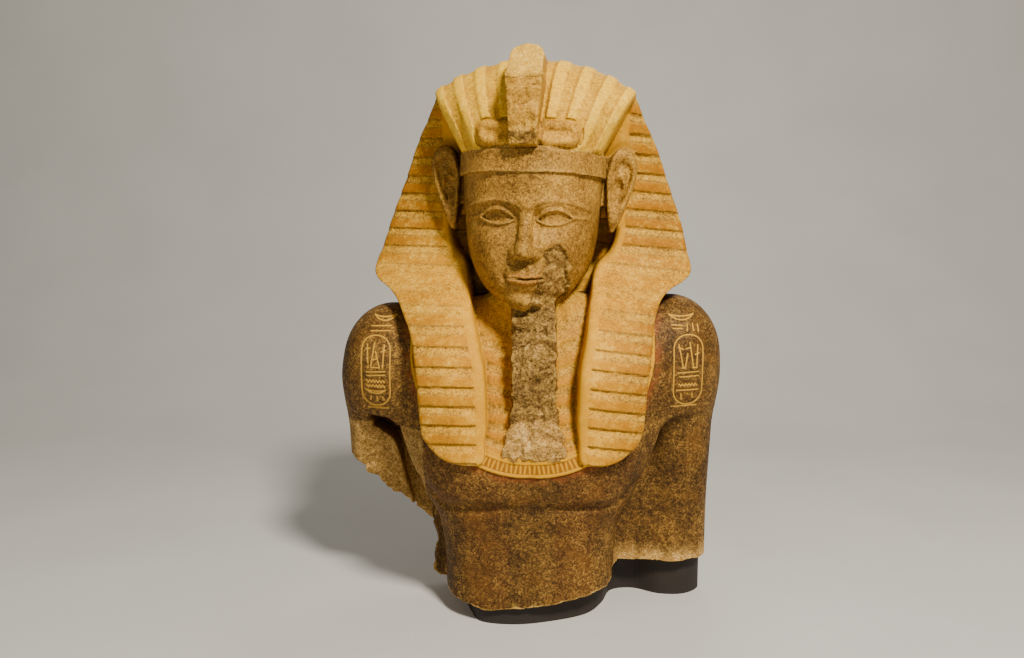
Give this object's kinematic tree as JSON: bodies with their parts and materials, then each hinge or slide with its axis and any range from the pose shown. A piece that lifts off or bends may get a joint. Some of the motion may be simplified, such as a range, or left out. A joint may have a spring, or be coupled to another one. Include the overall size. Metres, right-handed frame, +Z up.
{
  "type": "egyptian king statue bust",
  "caption": "Broken upper half of an Egyptian king's statue in speckled granite, with striped headcloth and cobra, seated in a fitted grey base.",
  "frame": {"origin": "centre of the bounding box, on the flat underside of the fitted base", "axes": "+Z up, the figure faces -Y, its own left arm is on +X"},
  "size_m": [0.6736, 0.3446, 0.9553],
  "materials": {
    "statue": "satin",
    "base": "matte"
  },
  "bodies": {
    "root": {"statue": "statue", "base": "base"}
  },
  "joints": []
}
